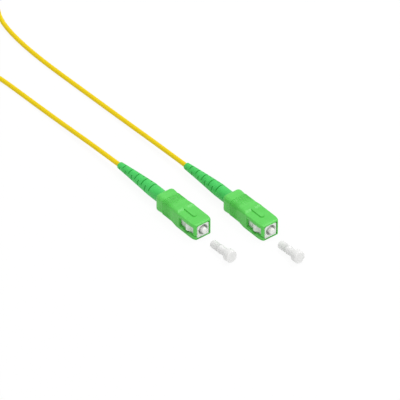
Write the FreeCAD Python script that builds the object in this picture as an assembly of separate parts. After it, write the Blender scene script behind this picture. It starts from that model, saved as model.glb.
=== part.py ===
"""Simplex push-pull fibre optic patch cable, angled-contact plugs at both ends.

Millimetres, +Z up. Each plug lies along X and its ferrule points to +X.
Origin: on the ferrule axis of plug A, in the plane of its plug frame's front face.
The table that the cable lies on is the plane z = -HOUSING_HEIGHT / 2.
"""
import FreeCAD, Part

import math
import os

from FreeCAD import Vector

# Place of plug B on the table, measured from plug A
PLUG_B_AHEAD = 17.0
PLUG_B_BESIDE = 20.75
PLUG_OFFSETS = {"a": Vector(0, 0, 0), "b": Vector(PLUG_B_AHEAD, PLUG_B_BESIDE, 0)}

# Outer housing, the sliding grip
HOUSING_WIDTH = 9.0
HOUSING_HEIGHT = 7.4
HOUSING_LENGTH = 25.7
HOUSING_SET_BACK = 0.1
GRIP_STEP = 0.35
GRIP_STEP_AT = 11.6
NOSE_SIDE_TAPER = 1.0
NOSE_SIDE_LENGTH = 2.8
NOSE_TOP_TAPER = 0.5
NOSE_TOP_LENGTH = 1.3
NOSE_UPPER_ROUND = 0.5
NOSE_LOWER_ROUND = 0.2
GRIP_UPPER_ROUND = 1.7
GRIP_LOWER_ROUND = 1.4
STEP_ROUND = 1.1
ROUND_BLEND = 3.6
CORNER_FLATS = 3
REAR_ROUND = 0.9
REAR_LIP = 2.2
SADDLE_FROM_STEP = 2.6
SADDLE_DEPTH = 0.25
WAIST_DEPTH = 0.25
RIB_PITCH = 0.85
RIB_THICKNESS = 0.4
RIB_BELOW_RIM = 0.08
RIB_MARGIN = 1.7
KEY_WIDTH = 1.9
KEY_LENGTH = 7.1
REAR_BORE = 6.0
REAR_BORE_CHAMFER = 0.3

# Side windows of the outer housing, with the cam notch and the slit under the front bar
WINDOW_FROM_NOSE = 1.5
WINDOW_LENGTH = 8.3
WINDOW_HEIGHT = 4.2
NOTCH_DEPTH = 0.65
NOTCH_FROM_FRONT = 2.4
NOTCH_LENGTH = 3.0
NOTCH_RAMP = 0.7
SLIT_HEIGHT = 0.5

# Travel of the sliding pieces
PULL_BACK = 1.5
PUSH_FORWARD = 0.5
FERRULE_TRAVEL = 1.0

# Plug frame, the white inner housing
FRAME_WIDTH = 5.8
FRAME_HEIGHT = 5.4
FRAME_LENGTH = 17.0
FRAME_CLEARANCE = 0.1
FRAME_BORE = 4.6
FRAME_TOP_CHAMFER = 0.8
FRAME_LOWER_CHAMFER = 0.3
FRAME_NOSE_CHAMFER = 0.4
SHOULDER_FROM_FRONT = 6.0
SHOULDER_THICKNESS = 1.0
SHOULDER_BORE = 3.0
LUG_RAMP = 1.4
LUG_FLAT = 1.1
LUG_HEIGHT = 3.2
LUG_BELOW_SKIN = 0.4
LATCH_POCKET_LENGTH = 2.0
LATCH_POCKET_DEPTH = 0.25
STOP_CLEARANCE = 0.2

# Ferrule with the eight degree angled end, and its metal flange
FERRULE_DIAMETER = 2.5
FERRULE_LENGTH = 10.5
FERRULE_PROUD = 1.4
FERRULE_CHAMFER_LENGTH = 0.4
FERRULE_TIP_DIAMETER = 1.7
FERRULE_REAR_CHAMFER = 0.22
CONTACT_ANGLE = 8.0
FLANGE_FLATS = 3.8
FLANGE_THICKNESS = 1.6
FLANGE_GAP = 0.05
TAIL_DIAMETER = 3.0
PRESS_CLEARANCE = 0.01

# Compression spring
SPRING_WIRE = 0.4
SPRING_OUTER = 4.0
SPRING_TURNS = 4
SPRING_STEPS = 12
SPRING_SEAT_GAP = 0.06

# Stop ring, which closes the plug frame and carries the crimp
STOP_RING_INSERT = 2.9
STOP_RING_FRONT_GAP = 1.2
STOP_RING_CLEARANCE = 0.08
STOP_RING_FLANGE_DIAMETER = 5.3
STOP_RING_FLANGE_THICKNESS = 1.0
STOP_RING_FLANGE_GAP = 0.05
BARREL_DIAMETER = 3.2
BARREL_LENGTH = 6.2
STOP_RING_BORE = 1.6
SNAP_TAB_LENGTH = 1.1
SNAP_TAB_WIDTH = 2.2
SNAP_TAB_BELOW_SKIN = 0.2
SNAP_TAB_ROOT = 0.2
SNAP_TAB_CLEARANCE = 0.1
SNAP_TAB_FROM_REAR = 1.1

# Fibre buffer, crimp ring and cable jacket
BUFFER_DIAMETER = 0.9
CRIMP_FLATS = 3.8
CRIMP_CLEARANCE = 0.05
CRIMP_NECK_DIAMETER = 2.9
CRIMP_NECK_LENGTH = 5.0
CRIMP_SHOULDER = 0.4
JACKET_DIAMETER = 2.0
JACKET_IN_CRIMP = 1.6
JACKET_CLEARANCE = 0.02

# Boot, the slotted strain relief
BOOT_TIP = 54.0
BOOT_COLLAR_DIAMETER = 5.65
BOOT_COLLAR_SHOWN = 7.6
BOOT_SPIGOT_CLEARANCE = 0.1
BOOT_TIP_DIAMETER = 3.0
BOOT_GAP = 0.05
BOOT_BORE_CLEARANCE = 0.06
BOOT_CABLE_CLEARANCE = 0.12
BOOT_SLOTS = 10
BOOT_SLOT_FIRST = 0.6
BOOT_SLOT_PITCH = 1.68
BOOT_SLOT_GROWTH = 1.055
BOOT_SLOT_WIDTH = 0.36
BOOT_SLOT_ANGLE = 122.0
BOOT_SLOT_TURN = 16.0

# Dust cap, taken off and lying on the table in front of each plug
CAP_LENGTH = 12.5
CAP_STEM_DIAMETER = 3.4
CAP_HEAD_DIAMETER = 5.2
CAP_HEAD_LENGTH = 2.8
CAP_HEAD_ROUND = 0.35
CAP_BORE_CLEARANCE = 0.04
CAP_BORE_DEPTH = 9.2
CAP_RING_DIAMETER = 3.8
CAP_RING_AT = 4.9
CAP_RING_WIDTH = 0.7
CAP_FLUTES = 4
CAP_FLUTE_WIDTH = 0.5
CAP_FLUTE_DEPTH = 0.2
CAP_AHEAD = 7.7
CAP_ASIDE = -1.0
CAP_YAW = -1.5

# Coil of the length that is put away, lying on the table
COIL_BEHIND = 196.0
COIL_BESIDE = 9.5
COIL_OUTER_RADIUS = 24.4
COIL_INNER_RADIUS = 17.2
COIL_HEIGHT = 4.0

# Route of the jacket from each plug to the coil, at the middle of the jacket
LEAD_A_ROUTE = [
    (-26.0, 0.0, 0.0),
    (-62.0, 0.0, 0.0),
    (-101.0, -0.2, -2.65),
    (-146.0, -1.5, -2.65),
    (-176.0, -13.3, -2.65),
    (-196.0, -13.5, -2.65),
]
LEAD_B_ROUTE = [
    (-9.0, 20.75, 0.0),
    (-45.0, 20.75, 0.0),
    (-84.0, 20.55, -2.65),
    (-158.0, 18.4, -2.65),
    (-180.0, 30.4, -1.2),
    (-196.0, 31.4, -0.72),
]
ARC_SHARE = 0.45

# Places worked out from the sizes above
TABLE = -HOUSING_HEIGHT / 2
NOSE = -HOUSING_SET_BACK
REAR = NOSE - HOUSING_LENGTH
STEP_FACE = NOSE - GRIP_STEP_AT
SADDLE_FRONT = STEP_FACE - SADDLE_FROM_STEP
SADDLE_REAR = REAR + REAR_LIP
SADDLE_LENGTH = SADDLE_FRONT - SADDLE_REAR
SADDLE_MIDDLE = (SADDLE_FRONT + SADDLE_REAR) / 2
CAVITY_REAR = -FRAME_LENGTH - PUSH_FORWARD - FRAME_CLEARANCE
WINDOW_FRONT = NOSE - WINDOW_FROM_NOSE
LUG_FRONT = WINDOW_FRONT - PULL_BACK - STOP_CLEARANCE
FERRULE_TIP = FERRULE_PROUD
FERRULE_REAR = FERRULE_TIP - FERRULE_LENGTH
FLANGE_FRONT = -SHOULDER_FROM_FRONT - SHOULDER_THICKNESS - FLANGE_GAP
FLANGE_REAR = FLANGE_FRONT - FLANGE_THICKNESS
STOP_RING_FRONT = -FRAME_LENGTH + STOP_RING_INSERT
TAIL_REAR = STOP_RING_FRONT + STOP_RING_FRONT_GAP
STOP_FLANGE_FRONT = -FRAME_LENGTH - STOP_RING_FLANGE_GAP
STOP_FLANGE_REAR = STOP_FLANGE_FRONT - STOP_RING_FLANGE_THICKNESS
BARREL_REAR = STOP_FLANGE_REAR - BARREL_LENGTH
TAB_REAR = -FRAME_LENGTH + SNAP_TAB_FROM_REAR
CRIMP_FRONT = STOP_FLANGE_REAR - CRIMP_CLEARANCE
CRIMP_BODY_REAR = BARREL_REAR - CRIMP_CLEARANCE
CRIMP_REAR = CRIMP_BODY_REAR - CRIMP_NECK_LENGTH
JACKET_START = BARREL_REAR - JACKET_IN_CRIMP
BOOT_FRONT = STOP_FLANGE_REAR - BOOT_GAP
COLLAR_REAR = REAR - BOOT_COLLAR_SHOWN
BEYOND = 1.0

X_AXIS = Vector(1, 0, 0)
Y_AXIS = Vector(0, 1, 0)
Z_AXIS = Vector(0, 0, 1)


def outline_face(segments):
    """A face inside a closed outline of corner points and (through, end) arcs."""
    edges = []
    here = segments[0]
    for step in segments[1:] + [segments[0]]:
        if isinstance(step, tuple):
            edges.append(Part.Arc(here, step[0], step[1]).toShape())
            here = step[1]
        elif (step - here).Length > 0:
            edges.append(Part.LineSegment(here, step).toShape())
            here = step
    return Part.Face(Part.Wire(edges))


def slab(segments, along, start, end):
    """The outline, drawn at 0 on the given axis, carried from start to end."""
    face = outline_face(segments)
    face.translate(along * start)
    return face.extrude(along * (end - start))


def box(x_from, x_to, width, z_from, z_to, y_middle=0.0):
    """A box between two X planes, centred on y_middle."""
    length = abs(x_to - x_from)
    corner = Vector(min(x_from, x_to), y_middle - width / 2, z_from)
    return Part.makeBox(length, width, z_to - z_from, corner)


def rod(x_from, x_to, diameter):
    """A cylinder on the plug's axis between two X planes."""
    start = Vector(min(x_from, x_to), 0, 0)
    return Part.makeCylinder(diameter / 2, abs(x_to - x_from), start, X_AXIS)


def hexagon(across_flats):
    """The six corners of a hexagon across the plug's axis, with a flat on top."""
    radius = across_flats / math.sqrt(3)
    corners = []
    for index in range(6):
        angle = math.radians(60 * index)
        corners.append(Vector(0, radius * math.cos(angle), radius * math.sin(angle)))
    return corners


def turned(profile):
    """A solid of revolution about the plug's axis from (x, radius) corners."""
    points = [Vector(x, 0, radius) for x, radius in profile]
    face = Part.Face(Part.makePolygon(points + [points[0]]))
    return face.revolve(Vector(0, 0, 0), X_AXIS, 360)


def housing_side_outline():
    """The outer housing seen from the side: nose tapers, step, saddles, rear lip."""
    top = HOUSING_HEIGHT / 2
    rim = top + GRIP_STEP
    diagonal = REAR_ROUND * (1 - math.sqrt(0.5))
    return [
        Vector(NOSE, 0, TABLE + NOSE_TOP_TAPER),
        Vector(NOSE - NOSE_TOP_LENGTH, 0, TABLE),
        Vector(SADDLE_FRONT, 0, TABLE),
        (Vector(SADDLE_MIDDLE, 0, TABLE + SADDLE_DEPTH), Vector(SADDLE_REAR, 0, TABLE)),
        Vector(REAR + REAR_ROUND, 0, TABLE),
        (
            Vector(REAR + diagonal, 0, TABLE + diagonal),
            Vector(REAR, 0, TABLE + REAR_ROUND),
        ),
        Vector(REAR, 0, rim - REAR_ROUND),
        (
            Vector(REAR + diagonal, 0, rim - diagonal),
            Vector(REAR + REAR_ROUND, 0, rim),
        ),
        Vector(SADDLE_REAR, 0, rim),
        (Vector(SADDLE_MIDDLE, 0, rim - SADDLE_DEPTH), Vector(SADDLE_FRONT, 0, rim)),
        Vector(STEP_FACE - GRIP_STEP, 0, rim),
        Vector(STEP_FACE, 0, top),
        Vector(NOSE - NOSE_TOP_LENGTH, 0, top),
        Vector(NOSE, 0, top - NOSE_TOP_TAPER),
    ]


def housing_plan_outline():
    """The outer housing seen from above: round nose corners, waist and round rear corners."""
    half = HOUSING_WIDTH / 2
    diagonal = REAR_ROUND * (1 - math.sqrt(0.5))
    nose_radius = (NOSE_SIDE_LENGTH**2 + NOSE_SIDE_TAPER**2) / (2 * NOSE_SIDE_TAPER)
    half_turn = math.asin(NOSE_SIDE_LENGTH / nose_radius) / 2
    nose_start = NOSE - NOSE_SIDE_LENGTH
    through_x = nose_start + nose_radius * math.sin(half_turn)
    through_y = half - nose_radius * (1 - math.cos(half_turn))
    right = [
        Vector(NOSE, half - NOSE_SIDE_TAPER, 0),
        (Vector(through_x, through_y, 0), Vector(nose_start, half, 0)),
        Vector(SADDLE_FRONT, half, 0),
        (Vector(SADDLE_MIDDLE, half - WAIST_DEPTH, 0), Vector(SADDLE_REAR, half, 0)),
        Vector(REAR + REAR_ROUND, half, 0),
        (Vector(REAR + diagonal, half - diagonal, 0), Vector(REAR, half - REAR_ROUND, 0)),
    ]
    left = [
        Vector(REAR, REAR_ROUND - half, 0),
        (Vector(REAR + diagonal, diagonal - half, 0), Vector(REAR + REAR_ROUND, -half, 0)),
        Vector(SADDLE_REAR, -half, 0),
        (Vector(SADDLE_MIDDLE, WAIST_DEPTH - half, 0), Vector(SADDLE_FRONT, -half, 0)),
        Vector(nose_start, -half, 0),
        (Vector(through_x, -through_y, 0), Vector(NOSE, NOSE_SIDE_TAPER - half, 0)),
    ]
    return right + left


def section_outline(x, top, upper_round, lower_round, inset=0.0):
    """The outer housing cut across at x, with CORNER_FLATS flats for each round corner."""
    half = HOUSING_WIDTH / 2
    corners = [
        (half - upper_round, top - upper_round, upper_round, 0),
        (upper_round - half, top - upper_round, upper_round, 90),
        (lower_round - half, TABLE + lower_round, lower_round, 180),
        (half - lower_round, TABLE + lower_round, lower_round, 270),
    ]
    points = []
    for y, z, radius, start in corners:
        for step in range(CORNER_FLATS + 1):
            angle = math.radians(start + 90 / CORNER_FLATS * step)
            reach = radius - inset
            points.append(Vector(x, y + reach * math.cos(angle), z + reach * math.sin(angle)))
    return Part.makePolygon(points + [points[0]])


def housing_blank():
    """The outer housing's long form: the round grip, which blends into the squarer nose."""
    top = HOUSING_HEIGHT / 2
    rim = top + GRIP_STEP
    sections = [
        section_outline(REAR, rim, GRIP_UPPER_ROUND, GRIP_LOWER_ROUND),
        section_outline(STEP_FACE - ROUND_BLEND, rim, GRIP_UPPER_ROUND, GRIP_LOWER_ROUND),
        section_outline(STEP_FACE - GRIP_STEP, rim, STEP_ROUND, NOSE_LOWER_ROUND),
        section_outline(STEP_FACE, top, NOSE_UPPER_ROUND, NOSE_LOWER_ROUND),
        section_outline(NOSE, top, NOSE_UPPER_ROUND, NOSE_LOWER_ROUND),
    ]
    return Part.makeLoft(sections, True, True)


def window_outline():
    """The side window seen from the side, with its cam notch and the slit to the nose."""
    half = WINDOW_HEIGHT / 2
    rear = WINDOW_FRONT - WINDOW_LENGTH
    notch = WINDOW_FRONT - NOTCH_FROM_FRONT
    return [
        Vector(WINDOW_FRONT, 0, half),
        Vector(rear, 0, half),
        Vector(rear, 0, -half),
        Vector(notch - NOTCH_LENGTH, 0, -half),
        Vector(notch - NOTCH_LENGTH + NOTCH_RAMP, 0, -half - NOTCH_DEPTH),
        Vector(notch - NOTCH_RAMP, 0, -half - NOTCH_DEPTH),
        Vector(notch, 0, -half),
        Vector(NOSE + BEYOND, 0, -half),
        Vector(NOSE + BEYOND, 0, -half + SLIT_HEIGHT),
        Vector(WINDOW_FRONT, 0, -half + SLIT_HEIGHT),
    ]


def key():
    """The polarity key on top of the nose, with a round front end."""
    top = HOUSING_HEIGHT / 2
    nose = STEP_FACE + KEY_LENGTH - KEY_WIDTH / 2
    bar = box(STEP_FACE - GRIP_STEP, nose, KEY_WIDTH, top - BEYOND, top + GRIP_STEP)
    end = Part.makeCylinder(
        KEY_WIDTH / 2, GRIP_STEP + BEYOND, Vector(nose, 0, top - BEYOND), Z_AXIS
    )
    return bar.fuse(end)


def grip_ribs():
    """As many ribs round the grip as its saddle takes inside the margins."""
    rim = HOUSING_HEIGHT / 2 + GRIP_STEP
    count = int((SADDLE_LENGTH - 2 * RIB_MARGIN) / RIB_PITCH) + 1
    first = SADDLE_MIDDLE - (count - 1) / 2 * RIB_PITCH
    ribs = []
    for index in range(count):
        rear = first + index * RIB_PITCH - RIB_THICKNESS / 2
        outline = section_outline(rear, rim, GRIP_UPPER_ROUND, GRIP_LOWER_ROUND, RIB_BELOW_RIM)
        ribs.append(Part.Face(outline).extrude(X_AXIS * RIB_THICKNESS))
    return ribs


def outer_housing():
    """The green push-pull housing: its long form crossed by two outlines, hollowed, pierced."""
    half = HOUSING_WIDTH / 2
    rim = HOUSING_HEIGHT / 2 + GRIP_STEP
    body = housing_blank().common(slab(housing_side_outline(), Y_AXIS, -half, half))
    body = body.common(slab(housing_plan_outline(), Z_AXIS, TABLE, rim))
    body = body.fuse([key()] + grip_ribs())
    cavity_width = FRAME_WIDTH + 2 * FRAME_CLEARANCE
    cavity_top = FRAME_HEIGHT / 2 + FRAME_CLEARANCE
    cavity = box(NOSE + BEYOND, CAVITY_REAR, cavity_width, -cavity_top, cavity_top)
    bore = rod(CAVITY_REAR + BEYOND, REAR - BEYOND, REAR_BORE)
    mouth = Part.makeCone(
        REAR_BORE / 2 + 2 * REAR_BORE_CHAMFER,
        REAR_BORE / 2,
        2 * REAR_BORE_CHAMFER,
        Vector(REAR - REAR_BORE_CHAMFER, 0, 0),
        X_AXIS,
    )
    windows = slab(window_outline(), Y_AXIS, -half - BEYOND, half + BEYOND)
    return body.cut([cavity, bore, mouth, windows]).removeSplitter()


def frame_end_outline():
    """The plug frame seen from the front, with wide chamfers on its upper corners."""
    half = FRAME_WIDTH / 2
    top = FRAME_HEIGHT / 2
    return [
        Vector(0, FRAME_LOWER_CHAMFER - half, -top),
        Vector(0, half - FRAME_LOWER_CHAMFER, -top),
        Vector(0, half, FRAME_LOWER_CHAMFER - top),
        Vector(0, half, top - FRAME_TOP_CHAMFER),
        Vector(0, half - FRAME_TOP_CHAMFER, top),
        Vector(0, FRAME_TOP_CHAMFER - half, top),
        Vector(0, -half, top - FRAME_TOP_CHAMFER),
        Vector(0, -half, FRAME_LOWER_CHAMFER - top),
    ]


def plug_frame():
    """The white inner housing with its latch lugs, bores and snap slots."""
    half = FRAME_WIDTH / 2
    top = FRAME_HEIGHT / 2
    bevel = FRAME_NOSE_CHAMFER
    plan = [
        Vector(0, half - bevel, 0),
        Vector(-bevel, half, 0),
        Vector(-FRAME_LENGTH, half, 0),
        Vector(-FRAME_LENGTH, -half, 0),
        Vector(-bevel, -half, 0),
        Vector(0, bevel - half, 0),
    ]
    body = slab(frame_end_outline(), X_AXIS, -FRAME_LENGTH, 0)
    body = body.common(slab(plan, Z_AXIS, -top, top))
    skin = HOUSING_WIDTH / 2 - LUG_BELOW_SKIN
    lug_rear = LUG_FRONT - LUG_RAMP - LUG_FLAT
    cuts = []
    for side in (-1, 1):
        lug = [
            Vector(LUG_FRONT, side * half, 0),
            Vector(LUG_FRONT - LUG_RAMP, side * skin, 0),
            Vector(lug_rear, side * skin, 0),
            Vector(lug_rear, side * (half - LATCH_POCKET_DEPTH), 0),
            Vector(LUG_FRONT, side * (half - LATCH_POCKET_DEPTH), 0),
        ]
        body = body.fuse(slab(lug, Z_AXIS, -LUG_HEIGHT / 2, LUG_HEIGHT / 2))
        pocket_middle = side * (half - LATCH_POCKET_DEPTH / 2)
        pocket_rear = lug_rear - LATCH_POCKET_LENGTH
        cuts.append(
            box(
                pocket_rear,
                lug_rear,
                LATCH_POCKET_DEPTH,
                -LUG_HEIGHT / 2,
                LUG_HEIGHT / 2,
                pocket_middle,
            )
        )
    slot_front = TAB_REAR + SNAP_TAB_LENGTH + SNAP_TAB_CLEARANCE
    slot_half = SNAP_TAB_WIDTH / 2 + SNAP_TAB_CLEARANCE
    cuts.append(
        box(
            TAB_REAR - SNAP_TAB_CLEARANCE,
            slot_front,
            FRAME_WIDTH + BEYOND,
            -slot_half,
            slot_half,
        )
    )
    cuts.append(rod(BEYOND, -SHOULDER_FROM_FRONT, FRAME_BORE))
    cuts.append(rod(0, -FRAME_LENGTH, SHOULDER_BORE))
    rear_bore_from = -SHOULDER_FROM_FRONT - SHOULDER_THICKNESS
    cuts.append(rod(rear_bore_from, -FRAME_LENGTH - BEYOND, FRAME_BORE))
    return body.cut(cuts).removeSplitter()


def ferrule():
    """The zirconia ferrule: chamfered rod, end face ground at the contact angle."""
    shoulder = FERRULE_TIP - FERRULE_CHAMFER_LENGTH
    body = turned(
        [
            (FERRULE_REAR, 0),
            (FERRULE_REAR, FERRULE_DIAMETER / 2 - FERRULE_REAR_CHAMFER),
            (FERRULE_REAR + FERRULE_REAR_CHAMFER, FERRULE_DIAMETER / 2),
            (shoulder, FERRULE_DIAMETER / 2),
            (FERRULE_TIP, FERRULE_TIP_DIAMETER / 2),
            (FERRULE_TIP, 0),
        ]
    )
    rise = FERRULE_TIP_DIAMETER / 2 * math.tan(math.radians(CONTACT_ANGLE))
    reach = FERRULE_DIAMETER
    grind = Part.makeBox(reach, 2 * reach, 2 * reach, Vector(0, -reach, -reach))
    grind.rotate(Vector(0, 0, 0), Y_AXIS, CONTACT_ANGLE)
    grind.translate(Vector(FERRULE_TIP - rise, 0, 0))
    return body.cut(grind)


def ferrule_flange():
    """The metal flange that holds the ferrule's rear end: hexagonal collar and tail."""
    pocket = FERRULE_DIAMETER + 2 * PRESS_CLEARANCE
    bore = BUFFER_DIAMETER + 2 * PRESS_CLEARANCE
    collar = slab(hexagon(FLANGE_FLATS), X_AXIS, FLANGE_REAR, FLANGE_FRONT)
    body = collar.fuse(rod(FLANGE_REAR, TAIL_REAR, TAIL_DIAMETER))
    for_ferrule = rod(FLANGE_FRONT + BEYOND, FERRULE_REAR - FLANGE_GAP, pocket)
    for_buffer = rod(FLANGE_FRONT, TAIL_REAR - BEYOND, bore)
    return body.cut([for_ferrule, for_buffer])


def spring():
    """The compression spring between the flange and the stop ring, in short straight steps."""
    radius = (SPRING_OUTER - SPRING_WIRE) / 2
    start = STOP_RING_FRONT + SPRING_SEAT_GAP + SPRING_WIRE / 2
    end = FLANGE_REAR - SPRING_SEAT_GAP - SPRING_WIRE / 2
    steps = SPRING_TURNS * SPRING_STEPS
    sections = []
    for index in range(steps + 1):
        angle = 360 / SPRING_STEPS * index
        corners = []
        for corner in hexagon(SPRING_WIRE):
            point = Vector(start + (end - start) * index / steps + corner.y, 0, radius + corner.z)
            corners.append(point)
        section = Part.makePolygon(corners + [corners[0]])
        section.rotate(Vector(0, 0, 0), X_AXIS, angle)
        sections.append(section)
    return Part.makeLoft(sections, True, True)


def stop_ring():
    """The ring snapped into the frame's rear, with a barrel for the crimp."""
    front_radius = FRAME_BORE / 2 - STOP_RING_CLEARANCE
    barrel = BARREL_DIAMETER / 2
    body = turned(
        [
            (STOP_RING_FRONT, STOP_RING_BORE / 2),
            (STOP_RING_FRONT, front_radius),
            (STOP_FLANGE_FRONT, front_radius),
            (STOP_FLANGE_FRONT, STOP_RING_FLANGE_DIAMETER / 2),
            (STOP_FLANGE_REAR, STOP_RING_FLANGE_DIAMETER / 2),
            (STOP_FLANGE_REAR, barrel),
            (BARREL_REAR, barrel),
            (BARREL_REAR, STOP_RING_BORE / 2),
        ]
    )
    reach = FRAME_WIDTH / 2 - SNAP_TAB_BELOW_SKIN
    half = SNAP_TAB_WIDTH / 2
    for side in (-1, 1):
        tab = [
            Vector(TAB_REAR, side * (front_radius - SNAP_TAB_ROOT), 0),
            Vector(TAB_REAR, side * reach, 0),
            Vector(TAB_REAR + SNAP_TAB_LENGTH / 2, side * reach, 0),
            Vector(TAB_REAR + SNAP_TAB_LENGTH, side * (front_radius - SNAP_TAB_ROOT), 0),
        ]
        body = body.fuse(slab(tab, Z_AXIS, -half, half))
    return body.cut(rod(STOP_RING_FRONT + BEYOND, BARREL_REAR - BEYOND, STOP_RING_BORE))


def crimp_ring():
    """The metal ring crimped to a hexagon over the barrel, its neck on the jacket."""
    body = slab(hexagon(CRIMP_FLATS), X_AXIS, CRIMP_BODY_REAR - CRIMP_SHOULDER, CRIMP_FRONT)
    body = body.fuse(rod(CRIMP_BODY_REAR - CRIMP_SHOULDER, CRIMP_REAR, CRIMP_NECK_DIAMETER))
    for_barrel = BARREL_DIAMETER + 2 * CRIMP_CLEARANCE
    for_jacket = JACKET_DIAMETER + 2 * JACKET_CLEARANCE
    return body.cut(
        [
            rod(CRIMP_FRONT + BEYOND, CRIMP_BODY_REAR, for_barrel),
            rod(CRIMP_FRONT, CRIMP_REAR - BEYOND, for_jacket),
        ]
    )


def fibre_buffer():
    """The buffered fibre from the ferrule's rear to the end of the jacket."""
    front = FERRULE_REAR - FLANGE_GAP
    rear = JACKET_START + FERRULE_TRAVEL + STOP_CLEARANCE / 2
    return rod(front, rear, BUFFER_DIAMETER)


def boot_slot_places():
    """Distance of each slot from the boot's tip, at a pitch that grows to the collar."""
    places = []
    at = BOOT_SLOT_FIRST
    pitch = BOOT_SLOT_PITCH
    for _ in range(BOOT_SLOTS):
        places.append(at)
        at += pitch
        pitch *= BOOT_SLOT_GROWTH
    return places


def boot_radius(x):
    """The radius of the boot's conical part at a place along the axis."""
    collar = BOOT_COLLAR_DIAMETER / 2
    tip = BOOT_TIP_DIAMETER / 2
    share = (x + BOOT_TIP) / (COLLAR_REAR + BOOT_TIP)
    return tip + (collar - tip) * share


def boot_slot(at, turn):
    """One slot with a flat floor, which opens BOOT_SLOT_ANGLE of the skin, down to the bore."""
    x = -BOOT_TIP + at
    half = BOOT_SLOT_WIDTH / 2
    reach = BOOT_COLLAR_DIAMETER
    floor = boot_radius(x) * math.cos(math.radians(BOOT_SLOT_ANGLE / 2))
    slot = box(x - half, x + half, reach, floor, reach)
    slot.rotate(Vector(0, 0, 0), X_AXIS, turn)
    return slot


def boot():
    """The slender slotted boot: a turned body with a narrower front end, then its slots."""
    crimp_bore = CRIMP_FLATS / math.sqrt(3) + BOOT_BORE_CLEARANCE
    neck_bore = CRIMP_NECK_DIAMETER / 2 + BOOT_BORE_CLEARANCE
    cable_bore = JACKET_DIAMETER / 2 + BOOT_CABLE_CLEARANCE
    neck_step = CRIMP_BODY_REAR - CRIMP_SHOULDER - BOOT_GAP
    spigot = FRAME_HEIGHT / 2 + FRAME_CLEARANCE - BOOT_SPIGOT_CLEARANCE
    spigot_rear = CAVITY_REAR - PULL_BACK - STOP_CLEARANCE
    body = turned(
        [
            (BOOT_FRONT, crimp_bore),
            (BOOT_FRONT, spigot),
            (spigot_rear, spigot),
            (spigot_rear, BOOT_COLLAR_DIAMETER / 2),
            (COLLAR_REAR, BOOT_COLLAR_DIAMETER / 2),
            (-BOOT_TIP, BOOT_TIP_DIAMETER / 2),
            (-BOOT_TIP, cable_bore),
            (CRIMP_REAR - BOOT_GAP, cable_bore),
            (CRIMP_REAR - BOOT_GAP, neck_bore),
            (neck_step, neck_bore),
            (neck_step, crimp_bore),
        ]
    )
    slots = []
    for index, at in enumerate(boot_slot_places()):
        turn = BOOT_SLOT_TURN + 90 * (index + 1)
        slots.append(boot_slot(at, turn))
        slots.append(boot_slot(at, turn + 180))
    return body.cut(slots)


def dust_cap():
    """The ferrule cap with its open stem end at the origin, pointing along +X."""
    stem = CAP_STEM_DIAMETER / 2
    head = CAP_HEAD_DIAMETER / 2
    ring = CAP_RING_DIAMETER / 2
    bore = FERRULE_DIAMETER / 2 + CAP_BORE_CLEARANCE
    neck = CAP_LENGTH - CAP_HEAD_LENGTH
    body = turned(
        [
            (0, bore),
            (0, stem),
            (CAP_RING_AT, stem),
            (CAP_RING_AT, ring),
            (CAP_RING_AT + CAP_RING_WIDTH, ring),
            (CAP_RING_AT + CAP_RING_WIDTH, stem),
            (neck, stem),
            (neck, head),
            (CAP_LENGTH - CAP_HEAD_ROUND, head),
            (CAP_LENGTH, head - CAP_HEAD_ROUND),
            (CAP_LENGTH, 0),
            (CAP_BORE_DEPTH, 0),
            (CAP_BORE_DEPTH, bore),
        ]
    )
    flutes = []
    for index in range(CAP_FLUTES):
        floor = stem - CAP_FLUTE_DEPTH
        flute = box(CAP_RING_AT + CAP_RING_WIDTH, neck, CAP_FLUTE_WIDTH, floor, head)
        flute.rotate(Vector(0, 0, 0), X_AXIS, 360 / CAP_FLUTES * (index + 0.5))
        flutes.append(flute)
    return body.cut(flutes)


def cap_on_table():
    """The dust cap lying on its head's rim and its stem's end, in front of plug A."""
    stem = CAP_STEM_DIAMETER / 2
    rise = (CAP_HEAD_DIAMETER - CAP_STEM_DIAMETER) / 2
    reach = CAP_LENGTH - CAP_HEAD_LENGTH
    tilt = math.degrees(math.atan2(rise, reach))
    cap = dust_cap()
    cap.rotate(Vector(0, 0, 0), Y_AXIS, -tilt)
    cap.rotate(Vector(0, 0, 0), Z_AXIS, CAP_YAW)
    height = TABLE + stem * math.cos(math.radians(tilt))
    cap.translate(Vector(CAP_AHEAD, CAP_ASIDE, height))
    return cap


def tube(route):
    """A jacket along straight runs joined by tangent arcs; prints radii and volume."""
    points = [Vector(*point) for point in route]
    edges = []
    radii = []
    here = points[0]
    for before, corner, after in zip(points, points[1:], points[2:]):
        back = before - corner
        ahead = after - corner
        shorter = min(back.Length, ahead.Length)
        back.normalize()
        ahead.normalize()
        half_turn = (math.pi - back.getAngle(ahead)) / 2
        reach = ARC_SHARE * shorter
        radius = reach / math.tan(half_turn)
        bisector = back + ahead
        bisector.normalize()
        start = corner + back * reach
        end = corner + ahead * reach
        middle = corner + bisector * (radius / math.cos(half_turn) - radius)
        edges.append(Part.LineSegment(here, start).toShape())
        edges.append(Part.Arc(start, middle, end).toShape())
        radii.append(round(radius, 1))
        here = end
    edges.append(Part.LineSegment(here, points[-1]).toShape())
    path = Part.Wire(edges)
    heading = points[1] - points[0]
    section = Part.Wire(Part.makeCircle(JACKET_DIAMETER / 2, points[0], heading))
    body = path.makePipeShell([section], True, False)
    expected = math.pi * JACKET_DIAMETER**2 / 4 * path.Length
    print("lead length", round(path.Length, 1), "radii", radii)
    print("volume", round(body.Volume, 2), "expected", round(expected, 2))
    return body


def coil():
    """The outer shape of the put-away turns: a flat ring lying on the table."""
    base = Vector(-COIL_BEHIND, COIL_BESIDE, TABLE)
    outer = Part.makeCylinder(COIL_OUTER_RADIUS, COIL_HEIGHT, base, Z_AXIS)
    inner = Part.makeCylinder(COIL_INNER_RADIUS, COIL_HEIGHT, base, Z_AXIS)
    return outer.cut(inner)


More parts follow.
